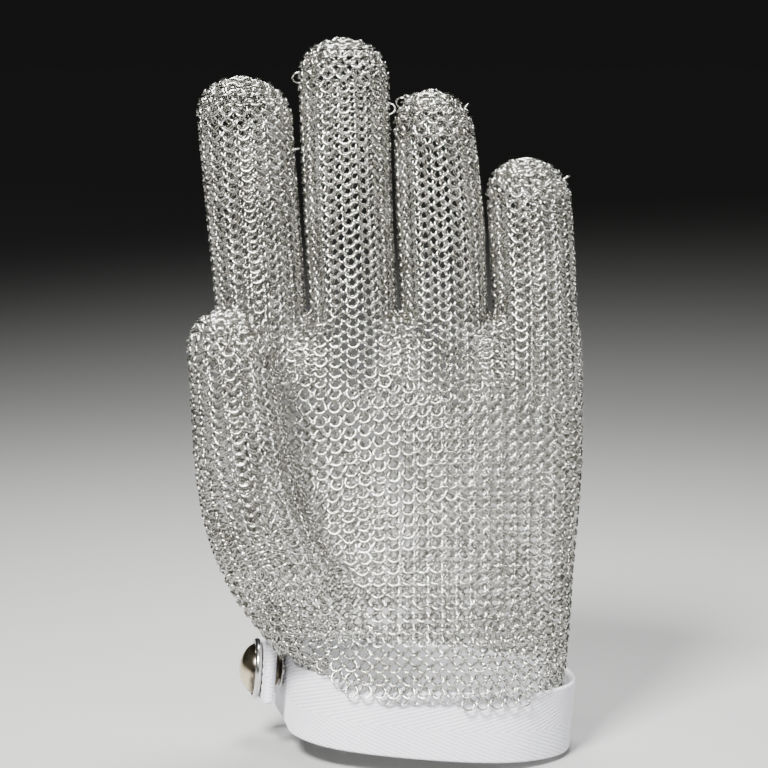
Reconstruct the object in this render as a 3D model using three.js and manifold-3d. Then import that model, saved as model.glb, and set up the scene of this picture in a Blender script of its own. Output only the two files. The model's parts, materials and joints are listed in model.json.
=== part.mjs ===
// Five-finger mesh glove for wood carving: welded steel ring mail, a webbing wrist strap and a snap.
// Millimetres. +Z runs from the wrist to the fingertips, the palm faces -Y and the thumb is at -X.
// The origin is the middle of the wrist opening, in the plane of the strap's lower edge.
// The mail is a shell as thick as the interlinked rings lie. Each digit's shell is cut at its joints
// by a notch that opens the way the joint bends, and a wedge of folding mail fills each notch.

import * as THREE from "three";
import { mergeVertices } from "three/addons/utils/BufferGeometryUtils.js";
import Module from "manifold-3d";

const wasm = await Module();
wasm.setup();

// Driving dimensions: mail
const MAIL = 1.8; // thickness of the interlinked rings
const GAP = 0.4; // clearance between neighbouring pieces
const AROUND = 16; // facets round a digit
const PALM_AROUND = 32; // facets round the palm
const SPARE_ANGLE = 1.5; // degrees each side of a notch, beyond its joint's range
const THUMB_SHIFT = -11; // the thumb's base turns at the crotch, on the palm's side of its centre line
const SEAM_Y = 0; // plane between the palm's mail and the back's mail

// Driving dimensions: strap, in the cuff's own frame, which is tilted so the thumb side is higher
const CUFF_TILT = 4.5; // degrees
const STRAP_WIDTH = 22;
const STRAP_THICK = 1.8;
const TAB_WIDTH = 19;
const TAB_LOW = 6.6; // height of the tab's lower edge level with the wrist's middle
const TAB_SLOPE = 0.15; // rise of the tab's edges towards its end
const TAB_END_THICK = 3.2; // the tab's end is folded back and sewn down
const TAB_END_START = 0.88; // share of the tab's length where the fold begins
const TAB_END_Y = -4;
const TAB_CORNER = 5; // radius of the corners of the tab's end
const STRAP_STEPS = 48;
const TAB_STEPS = 30;

// Driving dimensions: snap
const SNAP_Y = 9; // place of the snap's axis on the tab
const SNAP_REACH = 7.2; // distance between the middles of the two layers of webbing at the snap
const CAP_RADIUS = 9.6;
const CAP_RISE = 6.2;
const SOCKET_RADIUS = 6.4;
const SOCKET_BORE = 3.4;
const STUD_FLANGE = 5.6;
const STUD_RADIUS = 2.8;
const SHANK_RADIUS = 1.7;
const RIVET_HOLE = 2.2; // radius of the holes punched through the webbing
const LATHE_STEPS = 18;

const SHANK_DEEP = 0.4; // how far the cap's shank stands through the webbing
const REST_GAP = 0.35; // clearance between the snap's pieces and the webbing that they clamp

// Shape of the surfaces
const DIGIT_POWER = 2.2; // superellipse power of a digit's section
const PALM_POWER = 2.5;
const CAP_TURNS = [0, 28, 52, 72]; // degrees up the round end of a digit at which it has a level ring
const CAP_POWER = 0.9; // under 1 keeps the round end full
const FAR = 60; // reach of the prisms that cut the mail
const UP = new THREE.Vector3(0, 0, 1);
const vec = (x, y, z = 0) => new THREE.Vector3(x, y, z);
const deg = THREE.MathUtils.degToRad;

// Digits: the centre line's points from root to tip, the half width and half depth at each,
// the height of the rounded end, and the joints from root to tip.
const TO_PALM = vec(0, -1);
const OUTWARD = vec(-1, 0);
const ACROSS_PALM = vec(0.75, -0.66).normalize();

const DIGITS = {
  index: {
    axis: [vec(-48.6, 0, 112), vec(-48.9, 0, 130), vec(-51, -1.5, 160), vec(-54.4, -5, 205)],
    girth: [[13.2, 12], [13.8, 12.2], [14.2, 12.2], [14.6, 12.4]],
    cap: 13,
    joints: [
      { name: "knuckle", z: 141, bend: TO_PALM, degrees: 60 },
      { name: "middle", z: 165, bend: TO_PALM, degrees: 70 },
      { name: "tip", z: 185, bend: TO_PALM, degrees: 35 },
    ],
  },
  middle: {
    axis: [vec(-20.8, 0, 112), vec(-20.8, 0, 132), vec(-22.3, -1.5, 165), vec(-23.9, -5, 216.5)],
    girth: [[13.5, 12], [13.6, 12.4], [13.6, 12.6], [13.8, 12.4]],
    cap: 12.5,
    joints: [
      { name: "knuckle", z: 143, bend: TO_PALM, degrees: 60 },
      { name: "middle", z: 171, bend: TO_PALM, degrees: 70 },
      { name: "tip", z: 195, bend: TO_PALM, degrees: 35 },
    ],
  },
  ring: {
    axis: [vec(7, 0, 112), vec(7, 0, 132), vec(5.7, -1.5, 162), vec(2.7, -5, 201)],
    girth: [[13.3, 12], [13.4, 12.3], [13.4, 12.4], [11.6, 12.2]],
    cap: 12.5,
    joints: [
      { name: "knuckle", z: 142, bend: TO_PALM, degrees: 60 },
      { name: "middle", z: 164, bend: TO_PALM, degrees: 70 },
      { name: "tip", z: 182.5, bend: TO_PALM, degrees: 35 },
    ],
  },
  little: {
    axis: [vec(35.2, 0, 108), vec(35, 0, 128), vec(33.7, -1.5, 154), vec(31.4, -5, 180.5)],
    girth: [[13, 11.8], [13.1, 11.8], [13, 11.8], [12.7, 11.6]],
    cap: 12.5,
    joints: [
      { name: "knuckle", z: 136, bend: TO_PALM, degrees: 60 },
      { name: "middle", z: 153.5, bend: TO_PALM, degrees: 70 },
      { name: "tip", z: 167.5, bend: TO_PALM, degrees: 35 },
    ],
  },
  thumb: {
    axis: [
      vec(-27, -9, 28), vec(-38, -13.5, 46), vec(-47, -20, 66),
      vec(-52.8, -25.5, 90), vec(-55.4, -28.5, 112), vec(-57.2, -30.5, 137.4),
    ],
    girth: [[17, 14], [18.4, 15], [17.2, 15.6], [15, 14.6], [13.3, 13.4], [12.9, 13]],
    cap: 12.5,
    joints: [
      { name: "base", z: 78, bend: OUTWARD, degrees: 25, shift: THUMB_SHIFT },
      { name: "middle", z: 94, bend: ACROSS_PALM, degrees: 45 },
      { name: "tip", z: 113, bend: ACROSS_PALM, degrees: 54 },
    ],
  },
};

// Palm: height, left edge, right edge, front and back of each level ring, from wrist to webs.
const PALM = [
  [12, -43.8, 46.2, -28.4, 28.2],
  [24, -44.2, 45.8, -27.4, 27],
  [38, -47.4, 46.6, -23.6, 22.4],
  [55, -51.5, 47.6, -20, 18.5],
  [75, -55.5, 49.3, -17.6, 16],
  [94, -59, 50, -16, 14.6],
  [112, -61.3, 49.2, -14.4, 13.6],
  [125, -61.6, 48.4, -12.6, 12.4],
  [131, -60.2, 47, -9.6, 9.6],
  [133.5, -57, 44, -5, 5],
];

// Strap: middle line of the webbing seen from above, from its hidden inner end at the thumb side,
// round the palm side and the back to the tab, and the tab's own middle line.
const STRAP_LINE = [
  vec(-46.1, 20.5), vec(-44, 11), vec(-41.9, 1), vec(-38.8, -12), vec(-28, -22.5),
  vec(0, -27.4), vec(28, -23.2), vec(43, -10.5), vec(46.2, 4), vec(40.5, 19),
  vec(20, 26.8), vec(-12, 29), vec(-36, 28.6),
];
const TAB_LINE = [
  vec(-36.8, 28.5), vec(-46.5, 27), vec(-52, 18),
  vec(-51.4, 11), vec(-50.2, 3), vec(-49, TAB_END_Y),
];

// Closed geometry to solid and back. The booleans only join and cut.
function solidOf(geometry) {
  const bare = geometry.index ? geometry.toNonIndexed() : geometry.clone();
  bare.deleteAttribute("normal");
  bare.deleteAttribute("uv");
  const merged = mergeVertices(bare, 1e-4);
  const corners = merged.index.array;
  const kept = [];
  for (let i = 0; i < corners.length; i += 3) {
    const [a, b, c] = corners.slice(i, i + 3);
    if (a !== b && b !== c && a !== c) kept.push(a, b, c);
  }
  const solid = new wasm.Mesh({
    numProp: 3,
    vertProperties: merged.attributes.position.array,
    triVerts: new Uint32Array(kept),
  });
  return new wasm.Manifold(solid);
}

function geometryOf(solid) {
  const mesh = solid.getMesh();
  const points = new Float32Array(mesh.numVert * 3);
  for (let i = 0; i < mesh.numVert; i++) {
    const start = i * mesh.numProp;
    points.set(mesh.vertProperties.subarray(start, start + 3), i * 3);
  }
  const geometry = new THREE.BufferGeometry();
  geometry.setAttribute("position", new THREE.BufferAttribute(points, 3));
  geometry.setIndex(new THREE.BufferAttribute(new Uint32Array(mesh.triVerts), 1));
  geometry.computeVertexNormals();
  return geometry;
}

// Skin over a stack of level rings, closed by a fan at each end. A ring's power is 2 for an
// ellipse, and more for a squarer outline. The fan's point over the last ring may be lifted.
function skin(rings, around) {
  const points = [];
  const faces = [];
  for (const ring of rings) {
    for (let i = 0; i < around; i++) {
      const turn = (2 * Math.PI * i) / around;
      const [c, s] = [Math.cos(turn), Math.sin(turn)];
      const deep = s > 0 ? ring.back : ring.front;
      const across = ring.wide * Math.sign(c) * Math.abs(c) ** (2 / ring.power);
      const along = deep * Math.sign(s) * Math.abs(s) ** (2 / ring.power);
      points.push(ring.x + across, ring.y + along, ring.z);
    }
  }
  const low = points.length / 3;
  const top = low - around;
  const last = rings[rings.length - 1];
  points.push(rings[0].x, rings[0].y, rings[0].z, last.x, last.y, last.lift ?? last.z);
  for (let i = 0; i < around; i++) {
    const j = (i + 1) % around;
    for (let k = 0; k < top; k += around) {
      faces.push(k + i, k + j, k + j + around, k + i, k + j + around, k + i + around);
    }
    faces.push(low, j, i, low + 1, top + i, top + j);
  }
  const geometry = new THREE.BufferGeometry();
  geometry.setAttribute("position", new THREE.Float32BufferAttribute(points, 3));
  geometry.setIndex(faces);
  return solidOf(geometry);
}

// Prism on an outline of (across, up) points about `at`, reaching both ways along the third axis.
function prism(outline, at, across, up, reach = FAR) {
  const side = new THREE.Vector3().crossVectors(across, up);
  const shape = new THREE.Shape(outline.map(([x, y]) => new THREE.Vector2(x, y)));
  const geometry = new THREE.ExtrudeGeometry(shape, { depth: 2 * reach, bevelEnabled: false });
  geometry.translate(0, 0, -reach);
  geometry.applyMatrix4(new THREE.Matrix4().makeBasis(across, up, side).setPosition(at));
  return solidOf(geometry);
}

// Solid of a digit, inset by the mail's thickness for the space inside it.
function digitSolid({ axis, girth, cap }, inset) {
  const line = new THREE.CatmullRomCurve3(axis);
  const size = new THREE.CatmullRomCurve3(girth.map(([wide, deep]) => vec(wide, deep)));
  const capStart = axis[axis.length - 1].z - cap;
  const rings = [];
  const addRing = (t, z, share) => {
    const { x, y } = line.getPoint(t);
    const { x: wide, y: deep } = size.getPoint(t);
    const depth = (deep - inset) * share;
    const across = (wide - inset) * share;
    rings.push({ x, y, z, wide: across, front: depth, back: depth, power: DIGIT_POWER });
  };
  const steps = 2 * (axis.length - 1);
  for (let i = 0; i <= steps; i++) {
    const { z } = line.getPoint(i / steps);
    if (z < capStart - MAIL) addRing(i / steps, z, 1);
  }
  const dome = cap - inset;
  for (const turn of CAP_TURNS) {
    const z = capStart + dome * Math.sin(deg(turn));
    addRing(1, z, Math.cos(deg(turn)) ** CAP_POWER);
  }
  rings[rings.length - 1].lift = capStart + dome;
  return skin(rings, AROUND);
}

// Solid of the palm, inset at the sides, at the wrist and over the two rings that close its top.
function palmSolid(inset) {
  const rings = PALM.map(([z, left, right, front, back], i) => ({
    x: (left + right) / 2,
    y: 0,
    z: i === 0 || i > PALM.length - 3 ? z - inset : z,
    wide: (right - left) / 2 - inset,
    front: -front - inset,
    back: back - inset,
    power: PALM_POWER,
  }));
  return skin(rings, PALM_AROUND);
}

// Point where a joint turns: on the digit's centre line at its height, or shifted from it.
function hingePoint({ axis }, { z, bend, shift = 0 }) {
  const line = new THREE.CatmullRomCurve3(axis);
  let [low, high] = [0, 1];
  while (high - low > 1e-6) {
    const middle = (low + high) / 2;
    if (line.getPoint(middle).z < z) low = middle;
    else high = middle;
  }
  return line.getPoint(low).addScaledVector(bend, shift);
}

// The space above or below a joint's notch, and the wedge that the folding mail fills.
function sideOfJoint(digit, joint, sign) {
  const edge = sign * GAP / 2;
  const slope = sign * FAR * Math.tan(deg(joint.degrees / 2 + SPARE_ANGLE));
  const end = sign * 3 * FAR;
  const outline = [[-FAR, edge], [0, edge], [FAR, slope], [FAR, end], [-FAR, end]];
  if (sign < 0) outline.reverse();
  return prism(outline, hingePoint(digit, joint), joint.bend, UP);
}

function foldSpace(digit, joint) {
  const half = deg(joint.degrees / 2 + SPARE_ANGLE);
  const start = (1.5 * GAP) / Math.sin(half);
  const slope = (FAR - start) * Math.tan(half);
  return prism([[start, 0], [FAR, -slope], [FAR, slope]], hingePoint(digit, joint), joint.bend, UP);
}

const steel = new THREE.MeshStandardMaterial({ color: 0xb9bbb6, roughness: 0.35, metalness: 1 });
const foldSteel = new THREE.MeshStandardMaterial({ color: 0x9b9d98, roughness: 0.4, metalness: 1 });
const webbing = new THREE.MeshStandardMaterial({ color: 0xe8e8f0, roughness: 0.85, metalness: 0 });
const nickel = new THREE.MeshStandardMaterial({ color: 0xc9c6bd, roughness: 0.2, metalness: 1 });
const brass = new THREE.MeshStandardMaterial({ color: 0xc8b582, roughness: 0.25, metalness: 1 });

function addMesh(parent, name, geometry, material) {
  const mesh = new THREE.Mesh(geometry, material);
  mesh.name = name;
  parent.add(mesh);
  return mesh;
}

const glove = new THREE.Group();
const palmBody = palmSolid(0);
let rootOuter = palmBody;
let rootInner = palmSolid(MAIL);

// Mail of the digits: sections between the joints, a folding wedge at each joint, and the stub
// below the first joint, which belongs to the palm.
for (const [name, digit] of Object.entries(DIGITS)) {
  const outer = digitSolid(digit, 0);
  const inner = digitSolid(digit, MAIL);
  const free = outer.subtract(inner).subtract(palmSolid(-GAP));
  const firstJoint = digit.joints[0];
  const stubSpace = sideOfJoint(digit, firstJoint, -1);
  const openSpace = sideOfJoint(digit, { ...firstJoint, z: firstJoint.z + 2 * GAP }, -1);
  rootOuter = rootOuter.add(outer.intersect(stubSpace));
  rootInner = rootInner.add(inner.intersect(openSpace));
  digit.joints.forEach((joint, i) => {
    const next = digit.joints[i + 1];
    let section = free.intersect(sideOfJoint(digit, joint, 1));
    if (next) section = section.intersect(sideOfJoint(digit, next, -1));
    addMesh(glove, `${name}_${joint.name}_mail`, geometryOf(section), steel);
    const fold = free.intersect(foldSpace(digit, joint));
    addMesh(glove, `${name}_${joint.name}_fold`, geometryOf(fold), foldSteel);
  });
}

// Mail of the hand: one shell, open at the wrist and into every digit, split into palm and back.
const hemPoint = vec(0, 0, STRAP_WIDTH + GAP);
const hemUp = vec(Math.sin(deg(CUFF_TILT)), 0, Math.cos(deg(CUFF_TILT)));
const hemAcross = vec(Math.cos(deg(CUFF_TILT)), 0, -Math.sin(deg(CUFF_TILT)));
const boxOutline = (left, right, top) => [[left, 0], [right, 0], [right, top], [left, top]];
const aboveHem = prism(boxOutline(-2 * FAR, 2 * FAR, 3 * FAR), hemPoint, hemAcross, hemUp);
const handMail = rootOuter.subtract(rootInner).intersect(aboveHem);
const palmSide = prism(boxOutline(-FAR, -GAP / 2, 4 * FAR), vec(0, SEAM_Y), vec(0, 1), UP, 2 * FAR);
const backSide = prism(boxOutline(GAP / 2, FAR, 4 * FAR), vec(0, SEAM_Y), vec(0, 1), UP, 2 * FAR);
addMesh(glove, "palm_mail", geometryOf(handMail.intersect(palmSide)), steel);
addMesh(glove, "back_mail", geometryOf(handMail.intersect(backSide)), steel);

// Cuff: webbing, its tab and the snap, all in a frame tilted with the strap.
const cuff = new THREE.Group();
cuff.rotation.y = deg(CUFF_TILT);
glove.add(cuff);

// Band of webbing standing on edge along a middle line, its thickness given by a function of the
// share of the way along.
function band(points, width, thicknessAt, steps) {
  const line = new THREE.CatmullRomCurve3(points);
  const [outside, inside] = [[], []];
  for (let i = 0; i <= steps; i++) {
    const at = line.getPointAt(i / steps);
    const way = line.getTangentAt(i / steps);
    const off = vec(way.y, -way.x).normalize().multiplyScalar(thicknessAt(i / steps) / 2);
    outside.push(new THREE.Vector2(at.x + off.x, at.y + off.y));
    inside.unshift(new THREE.Vector2(at.x - off.x, at.y - off.y));
  }
  const shape = new THREE.Shape([...outside, ...inside]);
  return new THREE.ExtrudeGeometry(shape, { depth: width, bevelEnabled: false });
}

// Snap frame: +Z of a turned piece points out of the wrist along the snap's axis.
const tabCurve = new THREE.CatmullRomCurve3(TAB_LINE);
const snapShare = (() => {
  let [low, high] = [0.4, 1];
  while (high - low > 1e-6) {
    const middle = (low + high) / 2;
    if (tabCurve.getPointAt(middle).y > SNAP_Y) low = middle;
    else high = middle;
  }
  return low;
})();
const snapWay = tabCurve.getTangentAt(snapShare);
const snapAxis = vec(snapWay.y, -snapWay.x).normalize();
const snapCentre = tabCurve.getPointAt(snapShare).setZ(TAB_LOW + TAB_WIDTH / 2 - TAB_SLOPE * SNAP_Y);
const snapTurn = new THREE.Quaternion().setFromUnitVectors(UP, snapAxis);
const snapPlace = new THREE.Matrix4().compose(snapCentre, snapTurn, vec(1, 1, 1));

// Turned piece from (radius, height) points, with heights along the snap's axis from the middle
// of the tab's webbing.
function turned(profile) {
  const points = profile.map(([radius, height]) => new THREE.Vector2(radius, height));
  const geometry = new THREE.LatheGeometry(points, LATHE_STEPS);
  geometry.rotateX(Math.PI / 2);
  geometry.applyMatrix4(snapPlace);
  return solidOf(geometry);
}

const halfWebbing = STRAP_THICK / 2;
const punch = (middle) => turned([
  [0, middle - STRAP_THICK], [RIVET_HOLE, middle - STRAP_THICK],
  [RIVET_HOLE, middle + STRAP_THICK], [0, middle + STRAP_THICK],
]);

const strapBand = solidOf(band(STRAP_LINE, STRAP_WIDTH, () => STRAP_THICK, STRAP_STEPS));
const strap = strapBand.subtract(punch(-SNAP_REACH));
addMesh(cuff, "wrist_strap", geometryOf(strap), webbing);

const tabThickness = (share) => (share > TAB_END_START ? TAB_END_THICK : STRAP_THICK);
const tabShape = new THREE.Shape();
tabShape.moveTo(-FAR, 0);
tabShape.lineTo(-TAB_END_Y - TAB_CORNER, 0);
tabShape.absarc(-TAB_END_Y - TAB_CORNER, TAB_CORNER, TAB_CORNER, -Math.PI / 2, 0, false);
tabShape.absarc(-TAB_END_Y - TAB_CORNER, TAB_WIDTH - TAB_CORNER, TAB_CORNER, 0, Math.PI / 2, false);
tabShape.lineTo(-FAR, TAB_WIDTH);
const tabOutline = tabShape.getPoints(5).map(({ x, y }) => [x, y]);
const tabSpace = prism(tabOutline, vec(0, 0, TAB_LOW), vec(0, -1, TAB_SLOPE), UP);
const tabBand = solidOf(band(TAB_LINE, STRAP_WIDTH + TAB_LOW, tabThickness, TAB_STEPS));
const tab = tabBand.intersect(tabSpace).subtract(punch(0));
addMesh(cuff, "strap_tab", geometryOf(tab), webbing);

// Cap: rolled rim, groove and domed middle, with a shank through the tab.
const capFoot = halfWebbing + REST_GAP;
const shankEnd = -halfWebbing - SHANK_DEEP;
const cap = turned([
  [0, shankEnd], [SHANK_RADIUS, shankEnd], [SHANK_RADIUS, capFoot],
  [CAP_RADIUS - 1.2, capFoot], [CAP_RADIUS - 0.3, capFoot + 0.5], [CAP_RADIUS, capFoot + 1.2],
  [CAP_RADIUS - 0.4, capFoot + 1.9], [CAP_RADIUS - 1.1, capFoot + 2.1], [CAP_RADIUS - 1.6, capFoot + 1.8],
  [CAP_RADIUS - 2.1, capFoot + CAP_RISE * 0.5], [CAP_RADIUS - 3.8, capFoot + CAP_RISE * 0.78],
  [CAP_RADIUS - 6.4, capFoot + CAP_RISE * 0.95], [0, capFoot + CAP_RISE],
]);
addMesh(cuff, "snap_cap", geometryOf(cap), nickel);

// Socket: a ring whose open end faces the stud.
const socketTop = -halfWebbing - REST_GAP;
const socketFoot = -SNAP_REACH + 2.2;
const socket = turned([
  [SOCKET_BORE, socketFoot], [SOCKET_RADIUS - 1.6, socketFoot], [SOCKET_RADIUS - 1, socketFoot + 1.4],
  [SOCKET_RADIUS, socketTop - 0.6], [SOCKET_RADIUS, socketTop], [SOCKET_BORE, socketTop],
  [SOCKET_BORE, socketFoot],
]);
addMesh(cuff, "snap_socket", geometryOf(socket), brass);

// Stud: a flange on the strap's outer face and a head that springs into the socket.
const studFoot = -SNAP_REACH + halfWebbing + REST_GAP;
const studTop = studFoot + 2.85;
const stud = turned([
  [0, studFoot - 1.2], [SHANK_RADIUS, studFoot - 1.2], [SHANK_RADIUS, studFoot], [STUD_FLANGE, studFoot],
  [STUD_FLANGE, studFoot + 0.5], [STUD_RADIUS - 0.5, studFoot + 0.6], [STUD_RADIUS - 0.4, studTop - 1.2],
  [STUD_RADIUS, studTop - 0.6], [STUD_RADIUS - 0.5, studTop], [0, studTop],
]);
addMesh(cuff, "snap_stud", geometryOf(stud), nickel);

// Post: a flat head inside the wrist, with its shank up through the strap to the stud.
const postTop = -SNAP_REACH - halfWebbing - 2 * REST_GAP;
const post = turned([
  [0, postTop - 0.9], [STUD_FLANGE - 0.6, postTop - 0.7], [STUD_FLANGE, postTop], [SHANK_RADIUS, postTop],
  [SHANK_RADIUS, studFoot - 1.2 - REST_GAP], [0, studFoot - 1.2 - REST_GAP],
]);
addMesh(cuff, "snap_post", geometryOf(post), nickel);

export default glove;
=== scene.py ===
# The looks of a ring mail glove with a webbing wrist strap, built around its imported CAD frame.
# Lengths and places are in millimetres in the row frame until a mesh is made of them.
import json
import math

import bpy
import numpy as np
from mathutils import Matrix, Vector

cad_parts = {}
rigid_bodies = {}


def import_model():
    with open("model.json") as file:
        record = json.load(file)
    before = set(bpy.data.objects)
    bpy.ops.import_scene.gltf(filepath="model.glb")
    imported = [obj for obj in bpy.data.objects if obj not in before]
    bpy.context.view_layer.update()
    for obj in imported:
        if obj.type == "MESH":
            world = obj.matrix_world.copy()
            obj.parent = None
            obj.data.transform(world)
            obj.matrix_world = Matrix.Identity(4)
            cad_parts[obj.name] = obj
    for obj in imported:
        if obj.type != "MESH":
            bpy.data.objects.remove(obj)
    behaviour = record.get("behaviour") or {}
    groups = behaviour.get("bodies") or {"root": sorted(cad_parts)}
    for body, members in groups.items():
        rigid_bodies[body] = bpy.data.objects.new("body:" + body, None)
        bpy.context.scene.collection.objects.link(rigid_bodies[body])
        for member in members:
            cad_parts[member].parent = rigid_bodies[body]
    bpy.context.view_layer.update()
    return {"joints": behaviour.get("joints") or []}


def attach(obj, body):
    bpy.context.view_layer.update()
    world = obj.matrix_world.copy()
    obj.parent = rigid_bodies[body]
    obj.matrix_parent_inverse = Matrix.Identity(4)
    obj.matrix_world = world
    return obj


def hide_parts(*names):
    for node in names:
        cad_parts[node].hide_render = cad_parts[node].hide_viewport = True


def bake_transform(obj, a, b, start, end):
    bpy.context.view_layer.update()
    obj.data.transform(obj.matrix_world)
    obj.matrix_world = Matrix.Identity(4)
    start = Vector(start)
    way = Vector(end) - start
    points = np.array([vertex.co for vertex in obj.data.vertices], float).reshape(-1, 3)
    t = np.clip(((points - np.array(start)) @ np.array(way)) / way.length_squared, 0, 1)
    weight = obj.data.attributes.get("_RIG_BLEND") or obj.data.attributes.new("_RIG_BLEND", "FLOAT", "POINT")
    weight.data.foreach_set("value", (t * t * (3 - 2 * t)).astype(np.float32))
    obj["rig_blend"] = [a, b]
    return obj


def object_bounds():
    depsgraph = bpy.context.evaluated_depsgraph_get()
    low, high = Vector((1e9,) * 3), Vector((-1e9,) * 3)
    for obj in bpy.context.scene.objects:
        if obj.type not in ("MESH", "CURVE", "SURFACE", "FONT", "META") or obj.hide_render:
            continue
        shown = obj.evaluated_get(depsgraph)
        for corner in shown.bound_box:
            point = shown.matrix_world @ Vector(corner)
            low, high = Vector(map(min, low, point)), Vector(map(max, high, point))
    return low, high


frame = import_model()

MM = 0.001
UP = np.array([0.0, 0.0, 1.0])
TINY = 1e-9  # keeps a division from dividing by nothing
RANDOM = np.random.default_rng(7)

# One welded ring
RING_RADIUS = 1.85  # to the middle of the wire
WIRE_RADIUS = 0.3
RING_TILT = math.radians(24)  # neighbouring rows lean opposite ways by this much
RING_STEPS = 16
WIRE_SIDES = 6
RING_POINTS = RING_STEPS * WIRE_SIDES
WELD_SWELL = 0.22  # the weld stands proud by this share of the wire's radius
MAP_MARGIN = 0.1  # left round each ring's part of its square in the UV map

# The sheet of mail
MAIL_DEPTH = 0.9  # the rings' middles lie this far under the glove's outer surface
PALM_PITCH = 4.45  # between rings of one row
PALM_STEP = 1.83  # between rows
DIGIT_PITCH = 4.95
DIGIT_STEP = 1.55
CAP_PITCH = 4.5
CAP_STEP = 1.7
PITCH_SLACK = 0.055  # a row keeps the count of the row below until its pitch is off by this share
COUNT_SLACK = 0.55  # or by this share of one ring, if that is more
ROW_LEAN = 0.75  # rows turn from level to this share of square to the digit
LEAN_RISE = 18.0  # over this height above its root
CAP_END = 0.1  # radians short of a digit's tip at which its rows stop, for one last ring
LEAN_JITTER = math.radians(2)
PLACE_JITTER = 0.05

# How finely rows are found
SAMPLES = 288  # points round a row before its rings are spaced out
LINE_SAMPLES = 200  # points along a digit's centre line
DIGIT_REACH = 30  # farther from its centre line than any point of a digit
PALM_REACH = 80
MARCH_STEP = 1.0  # inwards to the surface
MARCH_END = 0.25
HALVINGS = 12
WAY_REACH = 1.2  # a ring's way along its row is taken over this length on either side
PROBE = 0.05  # step for slopes
FLATTEST = 1e-4  # least slope of a shape's value
SETTLE_STEPS = 5
SETTLE_MOVE = 3  # longest move in one step
SETTLE_FLATTEST = 0.2  # least slope of a distance, squared

# The cuff. Its frame leans sideways from the mail's.
STRAP_WIDTH = 22.0
STRAP_THICK = 1.7
CUFF_TILT = math.radians(4.5)
TAB_WIDTH = 19.0
TAB_THICK = 1.55
TAB_LOW = 6.6  # its lower edge is this high at y 0
TAB_SLOPE = 0.15  # and falls this much for each millimetre of y
SNAP_Y = 9.0
SNAP_REACH = 7.2  # from the middle of the tab's cloth to the middle of the strap's

# Level lines, from the strap's inner end at the thumb side round the palm side and the back, and
# from the tab's root, which is sewn on over the strap, to its free end.
STRAP_LINE = [
    (-46.1, 20.5), (-44, 11), (-41.9, 1), (-38.8, -12), (-28, -22.5), (0, -27.4), (28, -23.2),
    (43, -10.5), (46.2, 4), (40.5, 19), (20, 26.8), (-12, 29), (-36, 28.6)]
TAB_LINE = [
    (-36.8, 28.5), (-46.5, 27), (-52, 18), (-51.4, 11), (-50.2, 3), (-49, -4)]
TAB_ROOT = [(-19, 30.75), (-27, 30.8), (-34, 30.6), (-40, 29.7)]
TAB_FOLD = [(-48.45, -4.4), (-47.6, -3.8), (-47.5, 1.5)]

# The mail's hem
HEM_RISE = 1.7  # its lowest rings stay this far over the strap where they cross it
HEM_HANG = 5.2  # and this much lower where they hang outside it
HEM_TUCK = 3.2  # or inside it
STRAP_CLEAR = 2.2  # from the middle of the strap's cloth to the middle of a ring inside it
TUCK_FADE = (0.6, 8)  # heights over the strap between which the mail leaves the tuck
# x from which the mail begins to hang outside, wholly does, still wholly does and has stopped
HANG_FRONT = (-36, -20, 30, 42)
HANG_BACK = (-30, -18, 30, 42)
HANGING = (0.6, 1.0)  # shares of hanging between which the hem drops outside
TUCKED = (0, 0.35)  # and up to which it is tucked in

# Loose rings at the fingertips, and places near where they stand
EAR_RISE = 0.7
EAR_TURN = (0.25, 0, 0.55)  # what is added to a row's way, so that they stand obliquely
EARS = {
    "index": [(-41, -6, 183)],
    "middle": [(-36.5, -4, 206), (-10.5, -5, 196)],
    "ring": [(-6.5, -4, 197.5), (-4, -8, 199), (12.5, -4, 195)],
    "little": [(42.5, -4, 173)],
}

# Where one family of rows hands over to another
FINGER_ROOT = {"index": 116.0, "middle": 114.5, "ring": 113.5, "little": 110.5}
ROOT_DIP = 4.5  # a finger's rows reach this much lower under its middle
ROOT_RISE = 1.4  # and rise by this many dips to its sides
ROOT_HALF = 14.0  # which are this far from its middle
ROOT_MARGIN = 0.4  # the palm's rings stop this far under a finger's
THUMB_ROOT = 58.0
RING_GAP = 1.7  # least distance between the middles of two families' rings
# How far a ring's middle may be under the surface of the other family's shape
FINGER_UNDER_PALM = 1.6
THUMB_UNDER_HAND = 0.6
PALM_UNDER_THUMB = 3.2
PALM_UNDER_FINGER = 0.2
BEND_REACH = 10.0  # mail turns over this length on either side of a joint

# Where the palm's rows dip towards the crotch of the thumb
DIP_DEPTH = 6.0
DIP_X, DIP_Z, DIP_SIZE = -40, 90, 30
DIP_FRONT = -6  # y at which the dip is whole
PALM_START = 14.0
PALM_TOP_MARGIN = 0.3

# Roundness
DIGIT_POWER = 2.2
PALM_POWER = 2.5
END_POWER = 2.2
ROOT_ROUND = 12.0
FILLET = 4.0
THUMB_FILLET = 6.0
THUMB_CREASE = 0.8  # the fillet where the thumb has left the palm
CREASE_RANGE = (50, 72)  # heights between which it narrows to that

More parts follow.
